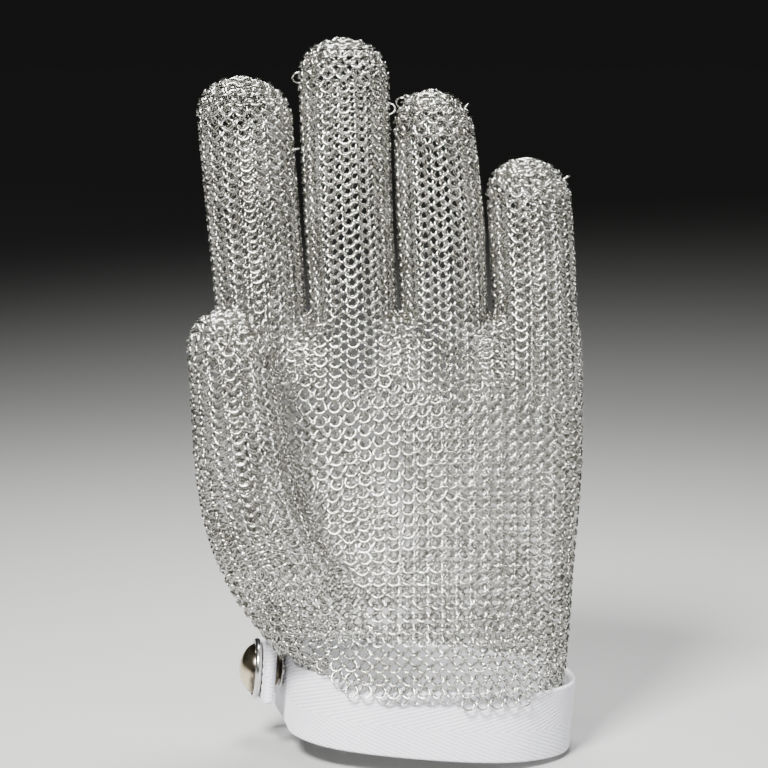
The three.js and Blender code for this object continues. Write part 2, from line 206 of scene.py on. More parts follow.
# Centre line (x, y, z), half width and half depth of each digit from root to tip, and the height
# of its round end.
DIGITS = {
    "index": {
        "line": [(-48.6, 0, 112), (-48.9, 0, 130), (-51, -1.5, 160), (-54.4, -5, 205)],
        "girth": [(13.2, 12), (13.8, 12.2), (14.2, 12.2), (14.6, 12.4)],
        "cap": 13,
    },
    "middle": {
        "line": [(-20.8, 0, 112), (-20.8, 0, 132), (-22.3, -1.5, 165), (-23.9, -5, 216.5)],
        "girth": [(13.5, 12), (13.6, 12.4), (13.6, 12.6), (13.8, 12.4)],
        "cap": 12.5,
    },
    "ring": {
        "line": [(7, 0, 112), (7, 0, 132), (5.7, -1.5, 162), (2.7, -5, 201)],
        "girth": [(13.3, 12), (13.4, 12.3), (13.4, 12.4), (11.6, 12.2)],
        "cap": 12.5,
    },
    "little": {
        "line": [(35.2, 0, 108), (35, 0, 128), (33.7, -1.5, 154), (31.4, -5, 180.5)],
        "girth": [(13, 11.8), (13.1, 11.8), (13, 11.8), (12.7, 11.6)],
        "cap": 12.5,
    },
    "thumb": {
        "line": [(-27, -9, 28), (-38, -13.5, 46), (-47, -20, 66),
                 (-52.8, -25.5, 90), (-55.4, -28.5, 112), (-57.2, -30.5, 137.4)],
        "girth": [(17, 14), (18.4, 15), (17.2, 15.6), (15, 14.6), (13.3, 13.4), (12.9, 13)],
        "cap": 12.5,
    },
}
FINGERS = ["index", "middle", "ring", "little"]

# Palm: height, left and right edges, front and back. The lowest rows flare over the strap.
PALM = [
    (10, -43.6, 46.2, -30.4, 31.6),
    (20, -43.8, 46, -30.2, 31.2),
    (25, -44.3, 45.8, -28.9, 29.2),
    (31, -45.8, 46, -26.4, 26),
    (38, -47.4, 46.6, -24, 22.8),
    (55, -51.5, 47.6, -20, 18.5),
    (75, -55.5, 49.3, -17.6, 16),
    (94, -59, 50, -16, 14.6),
    (112, -61.3, 49.2, -14.4, 13.6),
    (125, -61.6, 48.4, -12.6, 12.4),
]
PALM_CAP = 8.5
PALM_CENTRE_X = -4.0


# ---- Shape of the glove -------------------------------------------------------------------

def table_at(heights, table, z):
    """Rows of a table at heights z, on a smooth curve through the given rows."""
    z = np.clip(z, heights[0], heights[-1])
    slopes = np.gradient(table, heights, axis=0)
    k = np.clip(np.searchsorted(heights, z, side="right") - 1, 0, len(heights) - 2)
    span = (heights[k + 1] - heights[k])[:, None]
    t = (z - heights[k])[:, None] / span
    low = (1 + 2 * t) * (1 - t) ** 2 * table[k] + t * (1 - t) ** 2 * span * slopes[k]
    high = t * t * (3 - 2 * t) * table[k + 1] + t * t * (t - 1) * span * slopes[k + 1]
    return low + high


def share_of(start, end, value):
    """0 before start, 1 after end and smooth between them."""
    t = np.clip((value - start) / (end - start), 0.0, 1.0)
    return t * t * (3 - 2 * t)


def unit(rows):
    return rows / np.maximum(np.linalg.norm(rows, axis=1, keepdims=True), TINY)


def lengths_along(line):
    """Length of a line of points up to each of them."""
    return np.concatenate([[0], np.cumsum(np.linalg.norm(np.diff(line, axis=0), axis=1))])


def points_at(places, along, line):
    """Points of a line at lengths along it."""
    return np.column_stack([np.interp(places, along, axis) for axis in line.T])


def off_line(line):
    """Level directions square to a level line, at each of its points."""
    way = unit(np.gradient(line, axis=0))
    return np.column_stack([way[:, 1], -way[:, 0]])


class Digit:
    """A finger or thumb: level sections along a centre line, rounded off at both ends."""

    def __init__(self, line, girth, cap):
        self.heights = np.array([p[2] for p in line], float)
        self.table = np.array([[p[0], p[1], g[0], g[1]] for p, g in zip(line, girth)], float)
        self.cap = cap
        self.cap_start = self.heights[-1] - cap

    def centre(self, z):
        z = np.atleast_1d(np.asarray(z, float))
        return np.column_stack([table_at(self.heights, self.table, z)[:, :2], z])

    def way(self, z):
        """Direction of the centre line at a height."""
        way = self.centre(z + 1)[0] - self.centre(z - 1)[0]
        return way / np.linalg.norm(way)

    def value(self, p):
        """Under 0 inside, 0 on the surface and over 0 outside."""
        x, y, wide, deep = table_at(self.heights, self.table, p[:, 2]).T
        across = np.abs((p[:, 0] - x) / wide) ** DIGIT_POWER
        level = (across + np.abs((p[:, 1] - y) / deep) ** DIGIT_POWER) ** (1 / DIGIT_POWER)
        above = np.clip((p[:, 2] - self.cap_start) / self.cap, 0, None)
        below = np.clip((self.heights[0] - p[:, 2]) / ROOT_ROUND, 0, None)
        return (level**END_POWER + (above + below) ** END_POWER) ** (1 / END_POWER) - 1


class Palm:
    """The hand without its digits."""

    def __init__(self, rows):
        self.heights = np.array([row[0] for row in rows], float)
        self.table = np.array([
            [(left + right) / 2, (right - left) / 2, -front, back]
            for _, left, right, front, back in rows])

    def value(self, p):
        x, wide, front, back = table_at(self.heights, self.table, p[:, 2]).T
        deep = np.where(p[:, 1] < 0, front, back)
        across = np.abs((p[:, 0] - x) / wide) ** PALM_POWER
        level = (across + np.abs(p[:, 1] / deep) ** PALM_POWER) ** (1 / PALM_POWER)
        above = np.clip((p[:, 2] - self.heights[-1]) / PALM_CAP, 0, None)
        return (level**END_POWER + above**END_POWER) ** (1 / END_POWER) - 1


def gradient(function, p):
    return np.column_stack([
        (function(p + step) - function(p - step)) / (2 * PROBE) for step in np.eye(3) * PROBE])


def distance(shape, p):
    """Distance from a shape's surface, to first order."""
    slope = np.linalg.norm(gradient(shape.value, p), axis=1)
    return shape.value(p) / np.maximum(slope, FLATTEST)


def smooth_min(a, b, reach):
    near = np.clip(reach - np.abs(a - b), 0, None) / reach
    return np.minimum(a, b) - near * near * reach / 4


PALM_SHAPE = Palm(PALM)
SHAPES = {name: Digit(**facts) for name, facts in DIGITS.items()}


def hand_distance(p):
    """Distance from the palm joined to the four fingers."""
    fingers = np.min([distance(SHAPES[name], p) for name in FINGERS], axis=0)
    return smooth_min(distance(PALM_SHAPE, p), fingers, FILLET)


def glove_distance(p):
    reach = THUMB_CREASE + (THUMB_FILLET - THUMB_CREASE) * (1 - share_of(*CREASE_RANGE, p[:, 2]))
    return smooth_min(hand_distance(p), distance(SHAPES["thumb"], p), reach)


def settle(function, p):
    """Points moved to the rings' depth under a distance function's zero, and its normals there."""
    for _ in range(SETTLE_STEPS):
        slope = gradient(function, p)
        length = np.maximum((slope * slope).sum(1), SETTLE_FLATTEST)
        move = ((function(p) + MAIL_DEPTH) / length)[:, None] * slope
        size = np.linalg.norm(move, axis=1, keepdims=True)
        p = p - move * np.minimum(1, SETTLE_MOVE / np.maximum(size, TINY))
    return p, unit(gradient(function, p))


# ---- Rows of rings ------------------------------------------------------------------------

def outline(value, centre, normal, reach, lift=None):
    """Closed row of points where a plane through a centre cuts a shape, from the palm's side on."""
    first = np.array([0.0, -1.0, 0.0])
    first -= normal * (first @ normal)
    first /= np.linalg.norm(first)
    second = np.cross(normal, first)
    turn = np.linspace(0, 2 * math.pi, SAMPLES, endpoint=False)
    ray = np.cos(turn)[:, None] * first + np.sin(turn)[:, None] * second
    base = np.repeat(centre[None], SAMPLES, axis=0)
    far = np.full(SAMPLES, float(reach))
    inside = np.zeros(SAMPLES, bool)
    while not inside.all() and far.max() > 2 * MARCH_END:
        inside |= value(base + ray * far[:, None]) < 0
        far = np.maximum(np.where(inside, far, far - MARCH_STEP), MARCH_END)
        if far[~inside].size and far[~inside].max() <= MARCH_END:
            break
    low, high = far, far + MARCH_STEP
    for _ in range(HALVINGS):
        middle = (low + high) / 2
        within = value(base + ray * middle[:, None]) < 0
        low = np.where(within, middle, low)
        high = np.where(within, high, middle)
    points = base + ray * low[:, None]
    if lift is not None:
        points[:, 2] += lift(points)
    return points


class Rounds:
    """Spaces rings along closed rows, holding each half's count until its pitch strays too far."""

    def __init__(self, pitch):
        self.pitch = pitch
        self.counts = [0, 0]
        self.rows = []

    def add(self, points):
        loop = np.vstack([points, points[:1]])
        along = lengths_along(loop)
        marks = [0, along[SAMPLES // 2], along[-1]]
        shift = 0.5 * (len(self.rows) % 2)
        places = []
        for k in range(2):
            length = marks[k + 1] - marks[k]
            held = max(self.counts[k], 1)
            if abs(length / held / self.pitch - 1) > max(PITCH_SLACK, COUNT_SLACK / held):
                self.counts[k] = max(1, round(length / self.pitch))
            count = self.counts[k]
            places.append(marks[k] + (np.arange(count) + shift) * length / count)
        places = np.concatenate(places)
        here, after, before = (
            points_at((places + offset) % along[-1], along, loop)
            for offset in (0, WAY_REACH, -WAY_REACH))
        self.rows.append((here, after - before))


def gather(rows):
    """Stacks rows of (points, ways) with each ring's row number."""
    points = np.vstack([r[0] for r in rows])
    ways = np.vstack([r[1] for r in rows])
    number = np.concatenate([np.full(len(r[0]), k) for k, r in enumerate(rows)])
    return points, ways, number


def digit_rows(name, start):
    """Rows round a digit from a height up to its tip."""
    shape = SHAPES[name]
    fine = np.linspace(start, shape.cap_start, LINE_SAMPLES)
    along = lengths_along(shape.centre(fine))
    heights = np.interp(np.arange(0, along[-1], DIGIT_STEP), along, fine)
    rounds = Rounds(DIGIT_PITCH)
    for z in heights:
        lean = ROW_LEAN * float(share_of(start, start + LEAN_RISE, z))
        normal = shape.way(z) * lean + UP * (1 - lean)
        normal /= np.linalg.norm(normal)
        rounds.add(outline(shape.value, shape.centre(z)[0], normal, DIGIT_REACH))
    rounds.pitch = CAP_PITCH
    turn = CAP_STEP / shape.cap
    angle = (heights[-1] - shape.cap_start) / shape.cap + turn
    while angle < math.pi / 2 - CAP_END:
        z = shape.cap_start + shape.cap * math.sin(max(angle, 0))
        rounds.add(outline(shape.value, shape.centre(z)[0], UP, DIGIT_REACH))
        angle += turn
    top = shape.centre(shape.cap_start + shape.cap)
    return gather([*rounds.rows, (top, np.array([[1.0, 0.0, 0.0]]))])


def strap_top(x):
    """Height of the strap's upper edge, which leans."""
    return STRAP_WIDTH * math.cos(CUFF_TILT) - x * math.sin(CUFF_TILT)


def hang_share(p):
    """1 where the mail hangs outside the strap, at the middle of each face, and 0 at the sides."""
    front, back = (
        share_of(start, whole, p[:, 0]) * (1 - share_of(still, end, p[:, 0]))
        for start, whole, still, end in (HANG_FRONT, HANG_BACK))
    return np.where(p[:, 1] < 0, front, back)


def hem(p):
    """Lowest height of the mail, which ends lower inside and outside the strap than between."""
    hang = hang_share(p)
    outside = share_of(*HANGING, hang)
    inside = 1 - share_of(*TUCKED, hang)
    return strap_top(p[:, 0]) + HEM_RISE - HEM_HANG * outside - HEM_TUCK * inside


def tucked(rings):
    """The rings with the hem at the sides pulled in behind the strap."""
    line = smooth_line(STRAP_LINE, GUIDE_STEP)
    off = off_line(line)
    points = rings.points
    above = points[:, 2] - strap_top(points[:, 0])
    inside = 1 - share_of(*TUCKED, hang_share(points))
    share = inside * (1 - share_of(*TUCK_FADE, above))
    near = np.linalg.norm(points[:, None, :2] - line[None], axis=2).argmin(axis=1)
    out = ((points[:, :2] - line[near]) * off[near]).sum(axis=1)
    shift = np.clip(out + STRAP_CLEAR, 0, None) * share
    moved = points.copy()
    moved[:, :2] -= off[near] * shift[:, None]
    return Rings(moved, rings.normals, rings.ways, rings.rows)


def palm_lift(p):
    """Rows of the palm dip towards the crotch of the thumb."""
    near = np.exp(-(((p[:, 0] - DIP_X) / DIP_SIZE) ** 2) - ((p[:, 2] - DIP_Z) / DIP_SIZE) ** 2)
    return -DIP_DEPTH * near * share_of(0, DIP_FRONT, p[:, 1])


def palm_and_thumb(p):
    return np.minimum(PALM_SHAPE.value(p), SHAPES["thumb"].value(p))


def palm_rows():
    """Rows round the palm from below the hem to the fingers, round the thumb too at its root."""
    rounds = Rounds(PALM_PITCH)
    top = PALM_SHAPE.heights[-1] + PALM_CAP
    for level in np.arange(PALM_START, top - PALM_TOP_MARGIN, PALM_STEP):
        value = palm_and_thumb if level < THUMB_ROOT else PALM_SHAPE.value
        centre = np.array([PALM_CENTRE_X, 0, level])
        rounds.add(outline(value, centre, UP, PALM_REACH, palm_lift))
    return gather(rounds.rows)


class Rings:
    """Places of many rings: middles, outward normals, ways along the row and row numbers."""

    def __init__(self, points, normals, ways, rows):
        self.points, self.normals, self.ways, self.rows = points, normals, ways, rows

    def pick(self, mask):
        return Rings(self.points[mask], self.normals[mask], self.ways[mask], self.rows[mask])

    def __len__(self):
        return len(self.points)


def root_height(x):
    """Where the fingers' rows end over the palm's: lowest under the middle of each finger."""
    middles = np.array([DIGITS[name]["line"][0][0] for name in FINGERS])
    nearest = np.abs(x[:, None] - middles).argmin(axis=1)
    aside = np.abs(x - middles[nearest]) / ROOT_HALF
    level = np.array([FINGER_ROOT[name] for name in FINGERS])[nearest]
    return level + ROOT_DIP * (ROOT_RISE * np.minimum(1, aside**2) - 1)


def finger_rings(name):
    points, ways, rows = digit_rows(name, FINGER_ROOT[name] - ROOT_DIP)
    points, normals = settle(hand_distance, points)
    rings = Rings(points, normals, ways, rows)
    over_palm = points[:, 2] > root_height(points[:, 0])
    return rings.pick((distance(PALM_SHAPE, points) > -FINGER_UNDER_PALM) & over_palm)


def thumb_rings():
    points, ways, rows = digit_rows("thumb", THUMB_ROOT)
    out = hand_distance(points) > -THUMB_UNDER_HAND
    points, normals = settle(glove_distance, points)
    return Rings(points, normals, ways, rows).pick(out)


def palm_rings():
    points, ways, rows = palm_rows()
    free = distance(SHAPES["thumb"], points)
    on_thumb = points[:, 2] < THUMB_ROOT
    nearest = np.min([distance(SHAPES[name], points) for name in FINGERS], axis=0)
    under_root = points[:, 2] < root_height(points[:, 0]) - ROOT_MARGIN
    kept = (on_thumb | (free > -PALM_UNDER_THUMB)) & (under_root | (nearest > -PALM_UNDER_FINGER))
    points, ways, rows = points[kept], ways[kept], rows[kept]
    out = on_thumb[kept] | (free[kept] > 0)
    settled, normals = settle(glove_distance, points)
    inner, inner_normals = settle(hand_distance, points)
    points = np.where(out[:, None], settled, inner)
    normals = np.where(out[:, None], normals, inner_normals)
    rings = Rings(points, normals, ways, rows)
    return tucked(rings.pick(points[:, 2] > hem(points)))


def clear_of(rings, others):
    """The rings whose middles are farther than the gap from all the other rings' middles."""
    gaps = [np.linalg.norm(others.points - point, axis=1).min() for point in rings.points]
    return rings.pick(np.array(gaps) > RING_GAP)


# ---- Meshes -------------------------------------------------------------------------------

def new_object(name, vertices, *face_sets):
    """Smooth mesh object from millimetre vertices and arrays of faces."""
    mesh = bpy.data.meshes.new(name)
    vertices = np.asarray(vertices, float) * MM
    corners = np.concatenate([np.asarray(faces).ravel() for faces in face_sets]).astype(np.int32)
    sizes = np.concatenate([np.full(len(f), np.asarray(f).shape[1]) for f in face_sets])
    starts = np.concatenate([[0], np.cumsum(sizes)[:-1]]).astype(np.int32)
    mesh.vertices.add(len(vertices))
    mesh.vertices.foreach_set("co", vertices.astype(np.float32).ravel())
    mesh.loops.add(len(corners))
    mesh.loops.foreach_set("vertex_index", corners)
    mesh.polygons.add(len(sizes))
    mesh.polygons.foreach_set("loop_start", starts)
    mesh.polygons.foreach_set("use_smooth", np.ones(len(sizes), bool))
    mesh.update(calc_edges=True)
    mesh.validate()
    piece = bpy.data.objects.new(name, mesh)
    bpy.context.scene.collection.objects.link(piece)
    return piece


def set_values(piece, name, values):
    """Stores a number on each vertex, for a material to read."""
    attribute = piece.data.attributes.new(name, "FLOAT", "POINT")
    attribute.data.foreach_set("value", values.astype(np.float32).ravel())


def grid(rows, columns):
    """Row and column numbers of a grid's cells, one row after another."""
    i, j = np.meshgrid(np.arange(rows), np.arange(columns), indexing="ij")
    return i.ravel(), j.ravel()


def turns(count):
    return np.arange(count) * 2 * math.pi / count


def ring_faces(count):
    """Four-cornered faces of one torus after another."""
    i, j = grid(RING_STEPS, WIRE_SIDES)
    after, above = (i + 1) % RING_STEPS, (j + 1) % WIRE_SIDES
    one = np.column_stack([
        i * WIRE_SIDES + j, after * WIRE_SIDES + j,
        after * WIRE_SIDES + above, i * WIRE_SIDES + above])
    return (one[None] + np.arange(count)[:, None, None] * RING_POINTS).reshape(-1, 4)


def ring_map(mesh, count):
    """UV map for the bake, with a square of its own for each ring."""
    side = math.ceil(math.sqrt(count))
    i, j = grid(RING_STEPS, WIRE_SIDES)
    u = np.column_stack([i, i + 1, i + 1, i]) / RING_STEPS
    v = np.column_stack([j, j, j + 1, j + 1]) / WIRE_SIDES
    square = (np.stack([u, v], axis=-1) * (1 - 2 * MAP_MARGIN) + MAP_MARGIN)[None]
    corner = np.column_stack([np.arange(count) % side, np.arange(count) // side])
    uv = (square + corner[:, None, None]) / side
    mesh.uv_layers.new(name="OFBake").data.foreach_set("uv", uv.astype(np.float32).ravel())


def ring_piece(name, rings):
    """One mesh of many separate welded rings."""
    count = len(rings)
    lean = np.where(rings.rows % 2 == 0, 1.0, -1.0) * RING_TILT
    lean = lean + RANDOM.normal(0, LEAN_JITTER, count)
    normal = unit(rings.normals)
    across = unit(rings.ways - normal * (rings.ways * normal).sum(1, keepdims=True))
    across = unit(across + normal * RANDOM.normal(0, LEAN_JITTER, (count, 1)))
    up = np.cross(normal, across)
    axis = normal * np.cos(lean)[:, None] + up * np.sin(lean)[:, None]
    side = np.cross(axis, across)
    middle = rings.points + RANDOM.normal(0, PLACE_JITTER, (count, 3))
    spin = RANDOM.uniform(0, 2 * math.pi, count)
    angle = spin[:, None] + turns(RING_STEPS)[None]
    out = np.cos(angle)[..., None] * across[:, None] + np.sin(angle)[..., None] * side[:, None]
    around = turns(WIRE_SIDES)
    swell = np.ones(RING_STEPS)
    swell[0] += WELD_SWELL
    wire = WIRE_RADIUS * swell[:, None]
    radius = RING_RADIUS + wire * np.cos(around)[None]
    height = wire * np.sin(around)[None]
    vertices = (
        middle[:, None, None]
        + out[:, :, None] * radius[None, :, :, None]
        + axis[:, None, None] * height[None, :, :, None]
    ).reshape(-1, 3)
    piece = new_object(name, vertices, ring_faces(count))
    set_values(piece, "ring_tone", np.repeat(RANDOM.uniform(0, 1, count), RING_POINTS))
    ring_map(piece.data, count)
    return piece


# ---- Materials ----------------------------------------------------------------------------

# Sockets of a Mix node's colour kind
MIX_FACTOR, MIX_FIRST, MIX_SECOND, MIX_RESULT = 0, 6, 7, 2


class Nodes:
    """Short names for building a material's nodes."""

    def __init__(self, name):
        self.material = bpy.data.materials.new(name)
        self.material.use_nodes = True
        self.tree = self.material.node_tree
        self.shader = self.tree.nodes["Principled BSDF"]

    def add(self, kind, inputs=None, **settings):
        node = self.tree.nodes.new(kind)
        for key, value in settings.items():
            setattr(node, key, value)
        for key, value in (inputs or {}).items():
            if isinstance(value, bpy.types.NodeSocket):
                self.tree.links.new(value, node.inputs[key])
            else:
                node.inputs[key].default_value = value
        return node

    def set(self, **values):
        for key, value in values.items():
            socket = self.shader.inputs[key.replace("_", " ")]
            if isinstance(value, bpy.types.NodeSocket):
                self.tree.links.new(value, socket)
            else:
                socket.default_value = value

    def ramp(self, factor, *stops):
        node = self.add("ShaderNodeValToRGB", {"Fac": factor})
        elements = node.color_ramp.elements
        while len(elements) < len(stops):
            elements.new(0.5)
        for element, (place, colour) in zip(elements, stops):
            element.position = place
            element.color = (*colour, 1)
        return node.outputs["Color"]

    def noise(self, scale, detail, stretch=(1, 1, 1)):
        place = self.add("ShaderNodeTexCoord").outputs["Object"]
        mapped = self.add("ShaderNodeMapping", {"Vector": place, "Scale": stretch})
        return self.add("ShaderNodeTexNoise", {
            "Vector": mapped.outputs["Vector"], "Scale": scale, "Detail": detail}).outputs["Fac"]

    def range(self, value, low, high):
        return self.add("ShaderNodeMapRange", {
            "Value": value, "To Min": low, "To Max": high}).outputs["Result"]

    def bump(self, height, metres, strength):
        return self.add("ShaderNodeBump", {
            "Height": height, "Strength": strength, "Distance": metres}).outputs["Normal"]


def ring_steel():
    """Drawn stainless wire, each ring a little different, dulled by handling."""
    n = Nodes("ring_steel")
    tone = n.add("ShaderNodeAttribute", attribute_name="ring_tone").outputs["Fac"]
    haze = n.noise(scale=90, detail=2)
    mixed = n.add("ShaderNodeMix", {"Factor": 0.45, "A": tone, "B": haze}).outputs["Result"]
    colour = n.ramp(
        mixed, (0.15, (0.38, 0.37, 0.33)), (0.5, (0.57, 0.56, 0.52)), (0.85, (0.78, 0.78, 0.76)))
    n.set(Base_Color=colour, Metallic=1.0, Roughness=n.range(haze, 0.14, 0.3))
    n.set(Normal=n.bump(n.noise(scale=2600, detail=2), metres=0.00002, strength=0.35))
    return n.material


def white_tape():
    """Bleached polyester tape with painted shade, lavender grey, in the valleys of its weave, and fine
    filaments across the ribs.
    """
    n = Nodes("white_tape")
    height = n.add("ShaderNodeAttribute", attribute_name="weave").outputs["Fac"]
    # Painted shade: the ramp darkens the weave's valleys to lavender grey by the ribs' height.
    colour = n.ramp(
        height, (0.0, (0.34, 0.34, 0.46)), (0.45, (0.78, 0.78, 0.86)), (0.9, (0.93, 0.93, 0.95)))
    cloud = n.noise(scale=60, detail=4)
    shade = n.ramp(cloud, (0.3, (0.93, 0.93, 0.94)), (0.7, (1, 1, 1)))
    mixed = n.add(
        "ShaderNodeMix", {MIX_FACTOR: 1.0, MIX_FIRST: colour, MIX_SECOND: shade},
        data_type="RGBA", blend_type="MULTIPLY").outputs[MIX_RESULT]
    n.set(Base_Color=mixed, Roughness=0.78, Sheen_Weight=0.35, Sheen_Roughness=0.4)
    filaments = n.noise(scale=2400, detail=2, stretch=(1, 1, 0.25))
    n.set(Normal=n.bump(filaments, metres=0.00006, strength=0.6))
    return n.material


def thread():
    n = Nodes("white_thread")
    twist = n.noise(scale=1800, detail=2, stretch=(1, 1, 0.5))
    colour = n.ramp(twist, (0.3, (0.66, 0.66, 0.72)), (0.7, (0.86, 0.86, 0.88)))
    n.set(Base_Color=colour, Roughness=0.7, Sheen_Weight=0.3)
    n.set(Normal=n.bump(twist, metres=0.00005, strength=0.8))
    return n.material


def plated(name, crown, slope, rim, roughness):
    """Pressed metal coloured by its distance from the axis, with grime and painted shade in the rim's
    groove.
    """
    n = Nodes(name)
    radius = n.add("ShaderNodeAttribute", attribute_name="turn_radius").outputs["Fac"]
    stain = n.noise(scale=420, detail=5)
    spread = n.add("ShaderNodeMath", {0: n.range(stain, -0.07, 0.07), 1: radius}, operation="ADD")
    # The stops at 0.79 and 0.86 paint a dark band for the groove: grime and painted shade.
    colour = n.ramp(
        spread.outputs["Value"], (0.0, crown), (0.38, slope), (0.7, slope),
        (0.79, (0.12, 0.10, 0.08)), (0.86, (0.20, 0.18, 0.15)), (0.91, rim))
    n.set(Base_Color=colour, Metallic=1.0, Roughness=n.range(stain, *roughness))
    n.set(Normal=n.bump(n.noise(scale=900, detail=6), metres=0.00003, strength=0.4))
    return n.material


# ---- Cuff ---------------------------------------------------------------------------------

# Herringbone
TAPE_STEP = 0.3
TAPE_BACK_STEP = 1.0
RIB_PITCH = 1.13
RIB_SLOPE = math.radians(19)
RIB_TURN = 0.44  # the ribs turn back at this share of the width
RIB_DEPTH = 0.26
RIB_POWER = 0.6  # under 1 makes the ribs and their knuckles plump
KNUCKLE_SHARE = 0.65  # of a rib's height
EDGE_ROUND = 0.8
EDGE_WAVE = 0.12

# Lock stitches
STITCH_LENGTH = 2.3
STITCH_PITCH = 2.6
STITCH_RADIUS = 0.22
STITCH_BENDS, STITCH_SIDES = 9, 6
STITCH_ARCH = 1.6  # its rise, in radii of the thread
STITCH_SINK = 1.1  # the depth of its ends, in radii
STITCH_TAPER = 0.35

# The box stitch of the lap, as x and z, sewn round its four corners and then across them
LAP_BOX = [(-20.5, 4.5), (-20.5, 18.5), (-33, 20), (-33, 6)]
LAP_PATH = [0, 1, 2, 3, 0, 2, 3, 1]
LAP_LIFT = 0.78  # over the middle of the tab's cloth

# The row of stitches across the tab's folded end
FOLD_X, FOLD_Y = -50.48, -1.0
FOLD_SLANT = 0.17
FOLD_MARGIN = 1.6
FOLD_RISE = 0.7

# Places between which the tab leaves the strap and begins to swing
TAB_HELD = (-35.0, 30, 13)
TAB_FREE = (-43.0, 30, 13)

# The snap's turned parts
SNAP_LINE_STEP = 0.05
SNAP_SPAN = 4  # steps on either side over which the tab's way at the snap is taken
PROFILE_STEP = 0.16
TURN_STEPS = 96
POLE = 0.012  # radius of the small flat at the axis
SOCKET_FOOT = 2.2  # over the middle of the strap's cloth
STUD_GAP = 0.3  # from the strap's cloth
POST_GAP = 0.55

GUIDE_STEP = 0.5  # for lines that are only measured from
CURVE_POINTS = 48  # between two given points of a smooth line, before they are spaced out


def to_row(points):
    """Points of the tilted cuff's frame in the row frame."""
    x, y, z = np.moveaxis(np.asarray(points, float), -1, 0)
    turn_x = x * math.cos(CUFF_TILT) + z * math.sin(CUFF_TILT)
    turn_z = z * math.cos(CUFF_TILT) - x * math.sin(CUFF_TILT)
    return np.stack([turn_x, y, turn_z], axis=-1)


def smooth_line(points, step):
    """Points about a step apart on the centripetal Catmull-Rom curve through the given ones."""
    points = np.asarray(points, float)
    first, last = 2 * points[0] - points[1], 2 * points[-1] - points[-2]
    ends = np.vstack([first, points, last])
    share = np.linspace(0, 1, CURVE_POINTS, endpoint=False)[:, None]
    fine = []
    for a, b, c, d in zip(ends, ends[1:], ends[2:], ends[3:]):
        before, here, after = (np.linalg.norm(q - p) ** 0.5 for p, q in ((a, b), (b, c), (c, d)))
        leave = ((b - a) / before - (c - a) / (before + here) + (c - b) / here) * here
        arrive = ((c - b) / here - (d - b) / (here + after) + (d - c) / after) * here
        fine.append(
            (2 * share**3 - 3 * share**2 + 1) * b + (share**3 - 2 * share**2 + share) * leave
            + (3 * share**2 - 2 * share**3) * c + (share**3 - share**2) * arrive)
    fine = np.vstack([*fine, points[-1:]])
    along = lengths_along(fine)
    count = max(2, round(along[-1] / step))
    return points_at(np.linspace(0, along[-1], count + 1), along, fine)


def weave(along, up, width):
    """Height of a herringbone's ribs, from 0 in the valleys to 1."""
    turn = np.abs(up - RIB_TURN * width)
    rib = (turn * math.cos(RIB_SLOPE) - along * math.sin(RIB_SLOPE)) / RIB_PITCH
    on_rib = (along * math.cos(RIB_SLOPE) + turn * math.sin(RIB_SLOPE)) / RIB_PITCH
    ridge = np.abs(np.cos(math.pi * rib)) ** RIB_POWER
    # Each rib's knuckles stand half a pitch off its neighbour's.
    knuckle = np.abs(np.cos(math.pi * (on_rib + 0.5 * np.floor(rib + 0.5)))) ** RIB_POWER
    return ridge * (1 - KNUCKLE_SHARE + KNUCKLE_SHARE * knuckle)


def tape(name, line, low, width, thick):
    """Woven tape on edge along a level line, with heights of its lower edge at each point."""
    off = off_line(line)
    along = lengths_along(line)
    outer = np.linspace(0, 1, round(width / TAPE_STEP) + 1)
    inner = np.linspace(1, 0, round(width / TAPE_BACK_STEP) + 1)[1:-1]
    share = np.concatenate([outer, inner])
    side = np.concatenate([np.ones(len(outer)), -np.ones(len(inner))])
    up = share[None] * width
    wave = np.abs(np.sin(math.pi * along / RIB_PITCH))[:, None]
    scallop = EDGE_WAVE * wave * (2 * share[None] - 1)
    edge = np.minimum(up, width - up)
    body = thick / 2 * np.sqrt(1 - np.clip(1 - edge / EDGE_ROUND, 0, 1) ** 2)
    rise = weave(along[:, None], up, width)
    front = side[None] > 0
    lift = np.where(front, RIB_DEPTH * (rise - 1) * np.clip(edge / EDGE_ROUND, 0, 1), 0)
    reach = side[None] * body + lift
    flat = line[:, None] + off[:, None] * reach[..., None]
    height = low[:, None] + up + scallop
    points = to_row(np.concatenate([flat, height[..., None]], axis=2))
    count, around = len(line), len(share)
    i, j = grid(count - 1, around)
    after = (j + 1) % around
    sides = np.column_stack([
        i * around + j, (i + 1) * around + j, (i + 1) * around + after, i * around + after])
    caps = np.array([np.arange(around), (count * around - 1) - np.arange(around)])
    piece = new_object(name, points.reshape(-1, 3), sides, caps)
    # Rib heights for the painted shade in the weave's valleys; on the plain back the painted shade is half
    # as deep.
    set_values(piece, "weave", np.where(front, rise, (1 + rise) / 2))
    return piece, along[-1]


def snap_frame():
    """Middle of the tab's webbing at the snap, the snap's axis and two ways across it."""
    line = smooth_line(TAB_LINE, SNAP_LINE_STEP)
    k = int(np.argmin(np.abs(line[:, 1] - SNAP_Y)))
    way = line[k + SNAP_SPAN] - line[k - SNAP_SPAN]
    way /= np.linalg.norm(way)
    level = TAB_LOW + TAB_WIDTH / 2 - TAB_SLOPE * SNAP_Y
    centre = np.array([*line[k], level])
    return centre, np.array([way[1], -way[0], 0]), np.array([*way, 0]), UP


